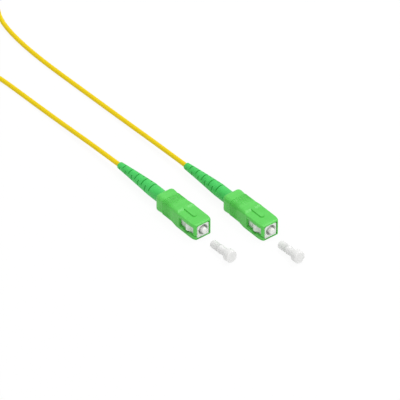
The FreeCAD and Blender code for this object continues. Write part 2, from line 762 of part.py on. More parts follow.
def save(node, shape):
    """Write one node, after making sure that it is one sound solid."""
    solid = shape.Solids[0]
    if len(shape.Solids) != 1 or not solid.isValid():
        raise ValueError(node + " is not one valid solid")
    solid.exportStep("parts/" + node + ".step")


os.makedirs("parts", exist_ok=True)

PLUG_PIECES = {
    "outer_housing": outer_housing(),
    "plug_frame": plug_frame(),
    "ferrule": ferrule(),
    "ferrule_flange": ferrule_flange(),
    "spring": spring(),
    "stop_ring": stop_ring(),
    "crimp_ring": crimp_ring(),
    "fibre_buffer": fibre_buffer(),
    "boot": boot(),
    "dust_cap": cap_on_table(),
}

for side, offset in PLUG_OFFSETS.items():
    for name, shape in PLUG_PIECES.items():
        save(name + "_" + side, shape.translated(offset))

save("cable_lead_a", tube(LEAD_A_ROUTE))
save("cable_lead_b", tube(LEAD_B_ROUTE))
save("cable_coil", coil())
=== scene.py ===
"""A simplex fibre optic patch cable: two green push-pull plugs with slotted boots on one yellow cable.

The caps of the two ferrules lie in front of the plugs. Metres, in the frame of the solids: +X out of
the plugs along their ferrules, +Z up, the origin in the middle of plug A's nose.
"""

import math

import bmesh
import bpy
import numpy as np
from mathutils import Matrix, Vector


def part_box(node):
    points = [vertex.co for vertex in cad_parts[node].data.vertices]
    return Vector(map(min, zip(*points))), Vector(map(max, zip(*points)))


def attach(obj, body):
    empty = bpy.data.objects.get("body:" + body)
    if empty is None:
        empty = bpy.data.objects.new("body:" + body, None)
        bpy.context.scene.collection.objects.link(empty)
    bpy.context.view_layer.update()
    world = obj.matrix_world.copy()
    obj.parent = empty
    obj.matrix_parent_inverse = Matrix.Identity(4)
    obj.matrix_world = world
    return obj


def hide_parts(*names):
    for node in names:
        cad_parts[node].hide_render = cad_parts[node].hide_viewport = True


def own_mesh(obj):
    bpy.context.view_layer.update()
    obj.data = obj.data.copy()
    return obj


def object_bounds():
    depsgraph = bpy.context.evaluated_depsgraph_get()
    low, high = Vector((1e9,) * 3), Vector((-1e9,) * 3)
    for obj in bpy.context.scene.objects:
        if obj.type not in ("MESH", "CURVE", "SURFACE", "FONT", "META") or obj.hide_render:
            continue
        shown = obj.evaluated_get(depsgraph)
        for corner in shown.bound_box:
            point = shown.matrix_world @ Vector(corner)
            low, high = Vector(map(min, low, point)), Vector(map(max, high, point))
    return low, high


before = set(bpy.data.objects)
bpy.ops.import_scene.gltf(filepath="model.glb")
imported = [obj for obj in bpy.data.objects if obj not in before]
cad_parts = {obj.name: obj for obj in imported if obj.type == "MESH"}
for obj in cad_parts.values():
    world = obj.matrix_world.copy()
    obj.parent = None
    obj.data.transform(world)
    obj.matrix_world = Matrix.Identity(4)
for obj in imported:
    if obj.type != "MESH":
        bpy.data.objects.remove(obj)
cad_low, cad_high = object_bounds()

# The table, the lamps and the camera. The table is pale and matt. The light comes from a large soft box
# overhead, one ahead of the noses and a small one behind, which gives the grip's step its sheen. A very
# long lens looks down on the plugs from ahead of their noses and to one side.
MM = 0.001
VIEW_AZIMUTH = math.radians(51.7)
VIEW_ELEVATION = math.radians(38.0)
VIEW_WIDTH = 160.0 * MM
VIEW_MIDDLE = Vector((-16.2, 11.2, -0.6)) * MM
LENS = 500.0
SENSOR = 36.0
TABLE_HALF = 3.0
TABLE_WHITE = (0.90, 0.90, 0.90, 1.0)
TABLE_GLOW = 0.93
SKY_STRENGTH = 0.62
LAMPS = {
    "lamp_overhead": ((-0.1, 0.35, 1.3), 1.0, 8.0),
    "lamp_front": ((1.3, -0.1, 0.5), 0.8, 3.5),
    "lamp_step": ((-0.07, 0.66, 1.17), 0.3, 3.0),
}

back = Vector(
    (
        math.sin(VIEW_AZIMUTH) * math.cos(VIEW_ELEVATION),
        -math.cos(VIEW_AZIMUTH) * math.cos(VIEW_ELEVATION),
        math.sin(VIEW_ELEVATION),
    )
)
camera_data = bpy.data.cameras.new("camera")
camera_data.lens = LENS
camera_data.sensor_width = SENSOR
camera = bpy.data.objects.new("camera", camera_data)
bpy.context.scene.collection.objects.link(camera)
camera.location = VIEW_MIDDLE + back * (VIEW_WIDTH * LENS / SENSOR)
camera.rotation_mode = "QUATERNION"
camera.rotation_quaternion = (-back).to_track_quat("-Z", "Y")
bpy.context.scene.camera = camera
bpy.context.scene.view_settings.view_transform = "Standard"


def seen_directly(tree):
    """1 for rays from the camera, off a gloss or through glass, and 0 for the light on the object."""
    path = tree.nodes.new("ShaderNodeLightPath")
    total = path.outputs["Is Camera Ray"]
    for kind in ("Is Glossy Ray", "Is Transmission Ray"):
        larger = tree.nodes.new("ShaderNodeMath")
        larger.operation = "MAXIMUM"
        tree.links.new(total, larger.inputs[0])
        tree.links.new(path.outputs[kind], larger.inputs[1])
        total = larger.outputs[0]
    return total


def white_surround():
    """An even sky: plain white where it is seen, and dimmer as a light."""
    world = bpy.data.worlds.new("surround")
    bpy.context.scene.world = world
    world.use_nodes = True
    tree = world.node_tree
    tree.nodes.clear()
    seen = tree.nodes.new("ShaderNodeBackground")
    lit = tree.nodes.new("ShaderNodeBackground")
    lit.inputs["Strength"].default_value = SKY_STRENGTH
    for background in (seen, lit):
        background.inputs["Color"].default_value = (1.0, 1.0, 1.0, 1.0)
    mix = tree.nodes.new("ShaderNodeMixShader")
    output = tree.nodes.new("ShaderNodeOutputWorld")
    tree.links.new(seen_directly(tree), mix.inputs["Fac"])
    tree.links.new(lit.outputs[0], mix.inputs[1])
    tree.links.new(seen.outputs[0], mix.inputs[2])
    tree.links.new(mix.outputs[0], output.inputs["Surface"])


def table_top():
    """The flat table, which keeps a soft trace of the object's shadow on its white."""
    half = TABLE_HALF
    corners = [(-half, -half), (half, -half), (half, half), (-half, half)]
    mesh = bpy.data.meshes.new("table_top")
    mesh.from_pydata([(x, y, cad_low.z) for x, y in corners], [], [(0, 1, 2, 3)])
    table = bpy.data.objects.new("table_top", mesh)
    bpy.context.scene.collection.objects.link(table)
    material = bpy.data.materials.new("table_white")
    material.use_nodes = True
    tree = material.node_tree
    tree.nodes.clear()
    matt = tree.nodes.new("ShaderNodeBsdfDiffuse")
    matt.inputs["Color"].default_value = TABLE_WHITE
    glow = tree.nodes.new("ShaderNodeEmission")
    glow.inputs["Color"].default_value = (1.0, 1.0, 1.0, 1.0)
    share = tree.nodes.new("ShaderNodeMath")
    share.operation = "MULTIPLY"
    share.inputs[1].default_value = TABLE_GLOW
    mix = tree.nodes.new("ShaderNodeMixShader")
    output = tree.nodes.new("ShaderNodeOutputMaterial")
    tree.links.new(seen_directly(tree), share.inputs[0])
    tree.links.new(share.outputs[0], mix.inputs["Fac"])
    tree.links.new(matt.outputs[0], mix.inputs[1])
    tree.links.new(glow.outputs[0], mix.inputs[2])
    tree.links.new(mix.outputs[0], output.inputs["Surface"])
    mesh.materials.append(material)


def soft_box(name, place, size, watts):
    """A square lamp, placed and sized in metres, that faces the middle of the view."""
    lamp = bpy.data.lights.new(name, "AREA")
    lamp.shape = "SQUARE"
    lamp.size = size
    lamp.energy = watts
    body = bpy.data.objects.new(name, lamp)
    bpy.context.scene.collection.objects.link(body)
    body.location = place
    body.rotation_mode = "QUATERNION"
    body.rotation_quaternion = (VIEW_MIDDLE - Vector(place)).to_track_quat("-Z", "Y")


white_surround()
table_top()
for name, settings in LAMPS.items():
    soft_box(name, *settings)


# The cable: one glass fibre in aramid yarn under an extruded yellow jacket of 2 mm. It runs straight back
# from the crimp in each boot, and its spare length lies behind in a flat coil of two layers of turns.
JACKET_DIAMETER = 2.0 * MM
JACKET_LENGTH = 0.94
JACKET_YELLOW = (0.80, 0.60, 0.002, 1.0)
JACKET_ORANGE = (0.775, 0.572, 0.002, 1.0)
JACKET_SHEEN = 0.15
JACKET_STRANDS = 9.0
JACKET_TWIST = 260.0
LEAD_A = [
    (-26.0, 0.0, 0.0),
    (-62.0, -0.15, -0.45),
    (-101.0, -0.35, -2.65),
    (-146.0, -1.5, -2.65),
    (-176.0, -13.3, -2.65),
    (-196.0, -13.5, -2.65),
]
LEAD_B = [
    (-9.0, 20.75, 0.0),
    (-45.0, 20.6, -0.45),
    (-84.0, 21.0, -2.65),
    (-158.0, 18.9, -2.65),
    (-180.0, 30.4, -1.2),
    (-196.0, 31.4, -0.72),
]
COIL_MIDDLE = (-196.0, 9.5)
COIL_STEPS = 16
COIL_LOW_TURNS = 2.5
COIL_HIGH_TURNS = 2.0
COIL_CLIMB = 0.3
COIL_FIRST_RADIUS = 23.2
COIL_INNER_RADIUS = 18.2
COIL_LAST_RADIUS = 21.9
COIL_LOW = -2.65
COIL_HIGH = -0.72


def coil_turns():
    """Points of the put-away turns, clockwise from above, without the two ends that the leads hold.

    The angle falls evenly. The radius shrinks over the lower layer and grows over the upper one, as two
    straight lines, and the height rises between them on a smooth step at the innermost turn. A point
    lies outside its turn by (3 + cos step) / 4, because the spline passes inside its points.
    """
    turns = COIL_LOW_TURNS + COIL_HIGH_TURNS
    turn = np.arange(1, round(turns * COIL_STEPS)) / COIL_STEPS
    angle = -math.pi / 2 - 2 * math.pi * turn
    places = [0.0, COIL_LOW_TURNS, turns]
    radii = [COIL_FIRST_RADIUS, COIL_INNER_RADIUS, COIL_LAST_RADIUS]
    radius = np.interp(turn, places, radii) * 4 / (3 + math.cos(2 * math.pi / COIL_STEPS))
    share = np.clip((turn - COIL_LOW_TURNS) / COIL_CLIMB + 0.5, 0.0, 1.0)
    height = COIL_LOW + (COIL_HIGH - COIL_LOW) * share * share * (3 - 2 * share)
    x = COIL_MIDDLE[0] + radius * np.cos(angle)
    y = COIL_MIDDLE[1] + radius * np.sin(angle)
    return np.column_stack([x, y, height])


def jacket_curve():
    """The whole cable as one smooth spline from crimp to crimp."""
    points = np.vstack([LEAD_A, coil_turns(), LEAD_B[::-1]]) * MM
    curve = bpy.data.curves.new("cable_jacket", "CURVE")
    curve.dimensions = "3D"
    spline = curve.splines.new("NURBS")
    spline.points.add(len(points) - 1)
    spline.points.foreach_set("co", np.column_stack([points, np.ones(len(points))]).ravel())
    spline.order_u = 3
    spline.use_endpoint_u = True
    curve.resolution_u = 10
    curve.bevel_depth = JACKET_DIAMETER / 2
    curve.bevel_resolution = 6
    curve.use_fill_caps = True
    cable = bpy.data.objects.new("cable_jacket", curve)
    bpy.context.scene.collection.objects.link(cable)
    return cable


def node_group(name, sockets_in, sockets_out):
    """A shader node group with its named sockets, and its input and output nodes."""
    group = bpy.data.node_groups.new(name, "ShaderNodeTree")
    for socket, value in sockets_in.items():
        made = group.interface.new_socket(socket, in_out="INPUT", socket_type="NodeSocketFloat")
        made.default_value = value
    for socket in sockets_out:
        group.interface.new_socket(socket, in_out="OUTPUT", socket_type="NodeSocketFloat")
    return group, group.nodes.new("NodeGroupInput"), group.nodes.new("NodeGroupOutput")


def arithmetic(tree, operation, first, second):
    """One math node. A socket is linked and a number is set."""
    node = tree.nodes.new("ShaderNodeMath")
    node.operation = operation
    for socket, value in zip(node.inputs, (first, second)):
        if isinstance(value, bpy.types.NodeSocket):
            tree.links.new(value, socket)
        else:
            socket.default_value = value
    return node.outputs[0]


def plastic_skin_group():
    """The skin of a plastic part: a fine spark-eroded grain and a slow, faint mottle."""
    group, given, result = node_group(
        "plastic_skin", {"Grain Scale": 9000.0, "Mottle Scale": 260.0}, ["Grain", "Mottle"]
    )
    place = group.nodes.new("ShaderNodeTexCoord")
    for socket, scale, detail in (("Grain", "Grain Scale", 3.0), ("Mottle", "Mottle Scale", 2.0)):
        noise = group.nodes.new("ShaderNodeTexNoise")
        noise.inputs["Detail"].default_value = detail
        group.links.new(place.outputs["Object"], noise.inputs["Vector"])
        group.links.new(given.outputs[scale], noise.inputs["Scale"])
        group.links.new(noise.outputs["Fac"], result.inputs[socket])
    return group


plastic_skin = plastic_skin_group()


def new_material(name, roughness):
    """A material with its tree and its Principled shader, of one even roughness to start with."""
    material = bpy.data.materials.new(name)
    material.use_nodes = True
    tree = material.node_tree
    shader = tree.nodes["Principled BSDF"]
    shader.inputs["Roughness"].default_value = roughness
    return material, tree, shader


def placed_group(tree, group, **values):
    """One use of a node group in a material, with its own values."""
    node = tree.nodes.new("ShaderNodeGroup")
    node.node_tree = group
    for socket, value in values.items():
        node.inputs[socket.replace("_", " ")].default_value = value
    return node


def blend_colours(tree, mask, first, second):
    """The first colour where the mask is 0, and the second where it is 1."""
    mix = tree.nodes.new("ShaderNodeMix")
    mix.data_type = "RGBA"
    tree.links.new(mask, mix.inputs["Factor"])
    mix.inputs["A"].default_value = first
    mix.inputs["B"].default_value = second
    return mix.outputs["Result"]


def spread_mask(tree, value, low, high):
    """The value stretched so that low becomes 0 and high becomes 1."""
    node = tree.nodes.new("ShaderNodeMapRange")
    node.inputs["From Min"].default_value = low
    node.inputs["From Max"].default_value = high
    tree.links.new(value, node.inputs["Value"])
    return node.outputs["Result"]


def two_toned(tree, shader, value, first, second, low=0.3, high=0.7):
    """Colours the shader between two close colours, by where the value lies from low to high."""
    mask = spread_mask(tree, value, low, high)
    tree.links.new(blend_colours(tree, mask, first, second), shader.inputs["Base Color"])
    return mask


def raise_bumps(tree, shader, height, distance, strength=1.0):
    """The height as relief of that many metres on the shader's normal."""
    bump = tree.nodes.new("ShaderNodeBump")
    bump.inputs["Strength"].default_value = strength
    bump.inputs["Distance"].default_value = distance
    tree.links.new(height, bump.inputs["Height"])
    tree.links.new(bump.outputs["Normal"], shader.inputs["Normal"])


def jacket_material():
    """Yellow extruded jacket: faint drawn lines along it, and the yarn's slow twist under the skin."""
    material, tree, shader = new_material("jacket_yellow", 0.42)
    skin = placed_group(tree, plastic_skin, Grain_Scale=6500.0, Mottle_Scale=180.0)
    along = tree.nodes.new("ShaderNodeUVMap")
    parts = tree.nodes.new("ShaderNodeSeparateXYZ")
    tree.links.new(along.outputs["UV"], parts.inputs[0])
    round_it = arithmetic(tree, "MULTIPLY", parts.outputs["Y"], 2 * math.pi * JACKET_STRANDS)
    twist = arithmetic(tree, "MULTIPLY", parts.outputs["X"], JACKET_LENGTH * JACKET_TWIST)
    strands = arithmetic(tree, "SINE", arithmetic(tree, "ADD", round_it, twist), 0.0)
    grain = arithmetic(tree, "MULTIPLY", skin.outputs["Grain"], 0.8)
    height = arithmetic(tree, "ADD", arithmetic(tree, "MULTIPLY", strands, 0.12), grain)
    two_toned(tree, shader, skin.outputs["Mottle"], JACKET_ORANGE, JACKET_YELLOW)
    raise_bumps(tree, shader, height, 0.008 * MM)
    shader.inputs["Specular IOR Level"].default_value = JACKET_SHEEN
    return material


cable_jacket = jacket_curve()
cable_jacket.data.materials.append(jacket_material())
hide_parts("cable_lead_a", "cable_lead_b", "cable_coil")
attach(cable_jacket, "root")


# The boots: one soft green moulding each, a smooth collar that hides the crimp and a slender cone, cut
# through in turn from two pairs of sides so that it bends with the cable. It is pushed over the crimp.
BOOT_COLUMNS = 128
BOOT_COLLAR_END = -33.4
BOOT_SPIGOT_END = -19.3
BOOT_SPIGOT_RADIUS = 2.7
BOOT_TIP_RADIUS = 1.5
BOOT_TIP_ROUND = 0.18
BOOT_SLOTS = 10
BOOT_SLOT_FIRST = 1.7
BOOT_SLOT_PITCH = 1.95
BOOT_SLOT_GROWTH = 1.035
BOOT_SLOT_WIDTH = 0.44
BOOT_SLOT_EDGE = 0.045
BOOT_SLOT_RIM_SHARE = 0.06
BOOT_SLOT_ANGLE = math.radians(122.0)
BOOT_SLOT_TURN = math.radians(16.0)
BOOT_SLOT_FLOOR = 1.18
BOOT_BORE = [(-54.0, 1.12), (-29.35, 1.12), (-29.35, 1.51), (-24.75, 1.51), (-24.75, 2.25), (-18.1, 2.25)]
BOOT_GREEN = (0.056, 0.575, 0.108, 1.0)
BOOT_DEEP_GREEN = (0.044, 0.515, 0.090, 1.0)
BOOT_BEND_FROM = -29.35
BOOT_BEND = (-0.1, -0.47)
BOOT_SHEEN = 0.35
SIDES = ("a", "b")


def plug_offset(side):
    """How far a plug lies from plug A."""
    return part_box("plug_frame_" + side)[1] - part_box("plug_frame_a")[1]


def grid_mesh(name, grid, rows_close=False):
    """A mesh over a grid of points, rows by columns by 3. Columns go round and close; rows may.

    Each quad takes the points (row, column), (row, column + 1), (row + 1, column + 1), (row + 1, column).
    """
    rows, columns, _ = grid.shape
    first = np.arange(rows if rows_close else rows - 1)[:, None]
    column = np.arange(columns)[None, :]
    second = (first + 1) % rows
    beside = (column + 1) % columns
    corners = (
        first * columns + column,
        first * columns + beside,
        second * columns + beside,
        second * columns + column,
    )
    quads = np.stack(corners, axis=-1).reshape(-1, 4)
    mesh = bpy.data.meshes.new(name)
    mesh.vertices.add(rows * columns)
    mesh.vertices.foreach_set("co", grid.astype(np.float32).ravel())
    mesh.loops.add(quads.size)
    mesh.loops.foreach_set("vertex_index", quads.astype(np.int32).ravel())
    mesh.polygons.add(len(quads))
    mesh.polygons.foreach_set("loop_start", np.arange(0, quads.size, 4, dtype=np.int32))
    mesh.update(calc_edges=True)
    return mesh


def finished_piece(name, mesh, sharp_degrees=35.0):
    """The object of a mesh: poles merged, faces outward, smooth but for its sharp edges."""
    work = bmesh.new()
    work.from_mesh(mesh)
    bmesh.ops.remove_doubles(work, verts=work.verts, dist=0.0005 * MM)
    bmesh.ops.recalc_face_normals(work, faces=work.faces)
    work.to_mesh(mesh)
    work.free()
    mesh.shade_smooth()
    mesh.set_sharp_from_angle(angle=math.radians(sharp_degrees))
    piece = bpy.data.objects.new(name, mesh)
    bpy.context.scene.collection.objects.link(piece)
    return piece


def boot_outline():
    """Places and radii down the outside of the boot with no slots, and the slots' share at each.

    The collar is straight, with a narrower spigot inside the housing, and the cone falls evenly to the
    tip, which is rounded as a quarter circle. Each slot adds six places: its share is
    0 outside its walls, 1 over its floor, and a little at each rim, which rounds the rim.
    """
    low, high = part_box("boot_a")
    collar = high.z / MM
    tip = low.x / MM
    at = BOOT_SLOT_FIRST
    pitch = BOOT_SLOT_PITCH
    half = BOOT_SLOT_WIDTH / 2
    walls = ((half + BOOT_SLOT_EDGE, 0.0), (half, BOOT_SLOT_RIM_SHARE), (half - BOOT_SLOT_EDGE, 1.0))
    rows = [(high.x / MM, 0.0, -1), (BOOT_SPIGOT_END + 0.01, 0.0, -1)]
    rows += [(BOOT_SPIGOT_END, 0.0, -1), (BOOT_SPIGOT_END - 0.3, 0.0, -1), (BOOT_COLLAR_END, 0.0, -1)]
    rows += [(tip + BOOT_TIP_ROUND * part, 0.0, -1) for part in (1.0, 0.6, 0.3, 0.1, 0.0)]
    for slot in range(BOOT_SLOTS):
        for step, share in walls:
            rows += [(tip + at + step, share, slot), (tip + at - step, share, slot)]
        at += pitch
        pitch *= BOOT_SLOT_GROWTH
    rows.sort(key=lambda row: -row[0])
    place, share, slot = np.array(rows).T
    cone = np.clip((place - tip) / (BOOT_COLLAR_END - tip), 0.0, 1.0)
    radius = BOOT_TIP_RADIUS + (collar - BOOT_TIP_RADIUS) * cone
    radius[place > BOOT_SPIGOT_END] = BOOT_SPIGOT_RADIUS
    drop = np.clip(1.0 - (place - tip) / BOOT_TIP_ROUND, 0.0, 1.0)
    radius -= BOOT_TIP_ROUND * (1.0 - np.sqrt(1.0 - drop * drop))
    return place, radius, share, slot


def boot_mesh(name):
    """The boot as one closed sheet, round the axis by columns and along its wall by rows.

    Outside, the radius is the outline's, or less in a slot, where it is the distance to the slot's flat
    floor: floor / cos(angle from the slot's middle). The slots of a row lie half a turn apart, and the
    next row a quarter turn on. Inside, the rows follow the stepped bore back. Behind the crimp the whole
    wall bends with the cable, sideways and down, by BOOT_BEND times a parabola.
    """
    angle = np.linspace(0.0, 2 * math.pi, BOOT_COLUMNS, endpoint=False)[None, :]
    place, radius, share, slot = (values[:, None] for values in boot_outline())
    middle = BOOT_SLOT_TURN + math.pi / 2 * slot
    from_middle = np.abs((angle - middle + math.pi / 2) % math.pi - math.pi / 2)
    floor = np.maximum(radius * math.cos(BOOT_SLOT_ANGLE / 2), BOOT_SLOT_FLOOR)
    to_floor = np.minimum(radius, floor / np.maximum(np.cos(from_middle), 0.05))
    outside = radius + (to_floor - radius) * share
    bore = np.array(BOOT_BORE)[:, :, None]
    inside = np.broadcast_to(bore[:, 1], (len(bore), BOOT_COLUMNS))
    reach = np.vstack([outside, inside])
    along = np.vstack([np.broadcast_to(place, outside.shape), np.broadcast_to(bore[:, 0], inside.shape)])
    around = np.broadcast_to(angle, reach.shape)
    bend = np.clip((BOOT_BEND_FROM - along) / (BOOT_BEND_FROM - place.min()), 0.0, 1.0) ** 2
    across = reach * np.cos(around) + BOOT_BEND[0] * bend
    up = reach * np.sin(around) + BOOT_BEND[1] * bend
    return grid_mesh(name, np.stack([along, across, up], axis=-1) * MM, rows_close=True)


def parting_line_group():
    """The thin raised line where two halves of a mould met, level with Height on both sides of a piece.

    The mask is 1 - |z - Height| / Width, and not below 0.
    """
    group, given, result = node_group("parting_line", {"Height": 0.0, "Width": 0.00005}, ["Line"])
    place = group.nodes.new("ShaderNodeTexCoord")
    parts = group.nodes.new("ShaderNodeSeparateXYZ")
    group.links.new(place.outputs["Object"], parts.inputs[0])
    off = arithmetic(group, "SUBTRACT", parts.outputs["Z"], given.outputs["Height"])
    share = arithmetic(group, "DIVIDE", arithmetic(group, "ABSOLUTE", off, 0.0), given.outputs["Width"])
    line = arithmetic(group, "MAXIMUM", arithmetic(group, "SUBTRACT", 1.0, share), 0.0)
    group.links.new(line, result.inputs["Line"])
    return group


parting_line = parting_line_group()


def moulded_material(name, roughness, scales, tones, seam, relief):
    """A moulded plastic with its tree, its shader and its skin.

    The scales are of the grain and the mottle, which runs between the tones. The seam is the parting
    line's height and width in mm, and the relief the grain's share and the depth in mm.
    """
    material, tree, shader = new_material(name, roughness)
    skin = placed_group(tree, plastic_skin, Grain_Scale=scales[0], Mottle_Scale=scales[1])
    line = placed_group(tree, parting_line, Height=seam[0] * MM, Width=seam[1] * MM)
    two_toned(tree, shader, skin.outputs["Mottle"], *tones)
    grain = arithmetic(tree, "MULTIPLY", skin.outputs["Grain"], relief[0])
    raise_bumps(tree, shader, arithmetic(tree, "ADD", grain, line.outputs["Line"]), relief[1] * MM)
    return material, tree, shader, skin


def boot_material():
    """Soft green elastomer: matt grain, a slow change between two close greens, a fine parting line."""
    tones = (BOOT_DEEP_GREEN, BOOT_GREEN)
    made = moulded_material("boot_green", 0.48, (7000.0, 330.0), tones, (0.0, 0.07), (0.4, 0.03))
    material, _, shader, _ = made
    shader.inputs["Specular IOR Level"].default_value = BOOT_SHEEN
    return material


def mesh_points(mesh):
    """The points of a mesh, one row of x, y, z each."""
    places = np.zeros(len(mesh.vertices) * 3, np.float32)
    mesh.vertices.foreach_get("co", places)
    return places.reshape(-1, 3)


def moved_mesh(mesh, side):
    """The mesh of a piece of plug A, taken to the plug of that side."""
    mesh.vertices.foreach_set("co", (mesh_points(mesh) + np.array(plug_offset(side))).ravel())
    return mesh


def dress(piece, node, body, material):
    """The piece takes its material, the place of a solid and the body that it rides."""
    piece.data.materials.append(material)
    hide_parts(node)
    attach(piece, body)


boot_green = boot_material()
for side in SIDES:
    name = "strain_boot_" + side
    boot = finished_piece(name, moved_mesh(boot_mesh(name), side))
    dress(boot, "boot_" + side, "root", boot_green)


# The outer housings: one hard green moulding each, a sleeve with a key on top, a waisted and ribbed grip,
# and two side windows. It slides a little on the plug frame, and pulling it frees the latches.
HOUSING_NOSE = 0.1
HOUSING_REAR = -25.3
HOUSING_HALF = 4.5
HOUSING_TOP = 3.6
HOUSING_BOTTOM = -3.7
GRIP_STEP = 0.5
STEP_FOOT = -10.75
STEP_RAMP = 0.85
NOSE_SIDE = (3.0, 1.08)
NOSE_TOP = (1.3, 0.4)
REAR_SIDE = (1.5, 1.15)
REAR_TOP = (1.3, 0.9)
REAR_BOTTOM = (1.0, 0.6)
CORNER_PLACES = [-14.8, -11.6, -10.75]
CORNER_SHRINK = 0.9
UPPER_CORNER = [1.7, 1.1, 0.5]
LOWER_CORNER = [1.4, 0.2, 0.2]
SADDLE_ENDS = (-23.6, -14.3)
SADDLE_DEPTH = 0.24
SADDLE_POWER = 1.5
RIB_PLACES = np.linspace(-20.6, -15.0, 9)
RIB_HALF = 0.21
RIB_SLOPE = 0.06
RIB_RISE = 0.22
KEY_HALF = 0.92
KEY_MIDDLE = -5.6
KEY_SLOPE = 0.07
KEY_TIP_STATIONS = np.append(np.sin(np.linspace(-0.2, math.pi / 2, 16)), [1.06, 1.12, 1.25])
WINDOW_ENDS = (-9.9, -1.0)
WINDOW_HALF = 2.1
SLIT_TOP = -1.6
NOTCH_ENDS = (-7.0, -4.0)
NOTCH_FLOOR = -2.75
NOTCH_RAMP = 0.7
NOTCH_RAMP_LEAST = 0.03
CAVITY_HALF = 3.2
CAVITY_TOP = 2.8
CAVITY_BOTTOM = -3.25
CAVITY_ROUND = 0.12
CAVITY_REAR = -17.6
REAR_BORE = 3.0
SIDE_LEVELS = [-3.5, NOTCH_FLOOR, -WINDOW_HALF, SLIT_TOP, -0.8, 0.0, 0.8, 1.5, WINDOW_HALF, 2.5, 3.2]
INNER_LEVELS = [CAVITY_BOTTOM + CAVITY_ROUND + 0.02] + SIDE_LEVELS[1:-1] + [CAVITY_TOP - CAVITY_ROUND - 0.02]
TOP_PLACES = [4.0, 3.0, 2.1, 1.5, 1.2, 1.1, 1.03, 0.97, 0.91, 0.84, 0.74, 0.62, 0.5, 0.38, 0.25, 0.12, 0.0]
FREE_STATIONS = [-8.4, -10.6, -13.0, -13.7]
STATION_BESIDE_STEP = 0.3
STATION_CLEARANCE = 0.05
STATION_LEAST_GAP = 0.015
HOUSING_ROUND = 0.13
ROUND_SHARE = 0.3
HOUSING_GREEN = (0.094, 0.555, 0.080, 1.0)
HOUSING_PALE = (0.110, 0.600, 0.096, 1.0)
HOUSING_SHEEN = 0.28
PARTING_HEIGHT = -2.9


def round_off(x, start, size):
    """How far a surface falls towards an end: depth * (1 - sqrt(1 - u * u)) over a length from start."""
    length, depth = size
    u = np.clip((x - start) / length, 0.0, 1.0)
    return depth * (1.0 - np.sqrt(1.0 - u * u))


def housing_stations():
    """Places along the housing: close together on its round ends, its ribs and the key's round tip."""
    quarter_turn = np.sin(np.linspace(0.0, math.pi / 2, 9))
    rib_edges = (-RIB_HALF, RIB_SLOPE - RIB_HALF, RIB_HALF - RIB_SLOPE, RIB_HALF)
    step_head = STEP_FOOT - STEP_RAMP
    places = [
        HOUSING_NOSE - NOSE_SIDE[0] * (1 - quarter_turn),
        HOUSING_NOSE - NOSE_TOP[0] * (1 - quarter_turn),
        HOUSING_REAR + REAR_SIDE[0] * (1 - quarter_turn),
        KEY_MIDDLE + KEY_HALF * KEY_TIP_STATIONS,
        np.concatenate([RIB_PLACES + step for step in rib_edges]),
        np.linspace(*SADDLE_ENDS, 10),
        np.array(NOTCH_ENDS) + [NOTCH_RAMP, -NOTCH_RAMP],
        [STEP_FOOT, step_head, STEP_FOOT + STATION_BESIDE_STEP, step_head - STATION_BESIDE_STEP],
        FREE_STATIONS + [CAVITY_REAR],
    ]
    places = np.sort(np.concatenate(places))[::-1]
    fixed = np.array(WINDOW_ENDS + NOTCH_ENDS)
    clear = np.abs(places[:, None] - fixed).min(axis=1) > STATION_CLEARANCE
    places = np.sort(np.concatenate([places[clear], fixed]))[::-1]
    return places[np.append(True, -np.diff(places) > STATION_LEAST_GAP)]


def housing_columns():
    """The places round the section, as rows of share across, share up, direction y, direction z, level.

    The shares run between the middles of the corner arcs, -1 to 1 across and 0 to 1 up. The level is the
    height of a column on the flat side of the nose, and none elsewhere.
    """
    levels = np.array(SIDE_LEVELS)
    side = (levels - levels[0]) / (levels[-1] - levels[0])
    across = np.array(TOP_PLACES) / TOP_PLACES[0]
    across = np.append(across, -across[-2::-1])
    under = np.linspace(-1.0, 1.0, 9)
    turn = np.radians([15.0, 30.0, 45.0, 60.0, 75.0])
    cosine, sine = np.cos(turn), np.sin(turn)
    none = np.nan
    blocks = [
        (1.0, side, 1.0, 0.0, levels),
        (1.0, 1.0, cosine, sine, none),
        (across, 1.0, 0.0, 1.0, none),
        (-1.0, 1.0, -sine, cosine, none),
        (-1.0, side[::-1], -1.0, 0.0, levels[::-1]),
        (-1.0, 0.0, -cosine, -sine, none),
        (under, 0.0, 0.0, -1.0, none),
        (1.0, 0.0, sine, -cosine, none),
    ]
    return np.vstack([np.column_stack(np.broadcast_arrays(*block)) for block in blocks]).T


def rounded_section(columns, half, top, bottom, upper, lower):
    """Places y and z round a rectangle with round corners, for every column at once.

    y = share across * (half - radius) + radius * direction, and z is the same between the middles of the
    lower and the upper corners.
    """
    across, up, direction_y, direction_z, _ = columns
    radius = np.where(up > 0.5, upper, lower)
    y = across * (half - radius) + radius * direction_y
    z = bottom + lower + up * (top - upper - bottom - lower) + radius * direction_z
    return y, z


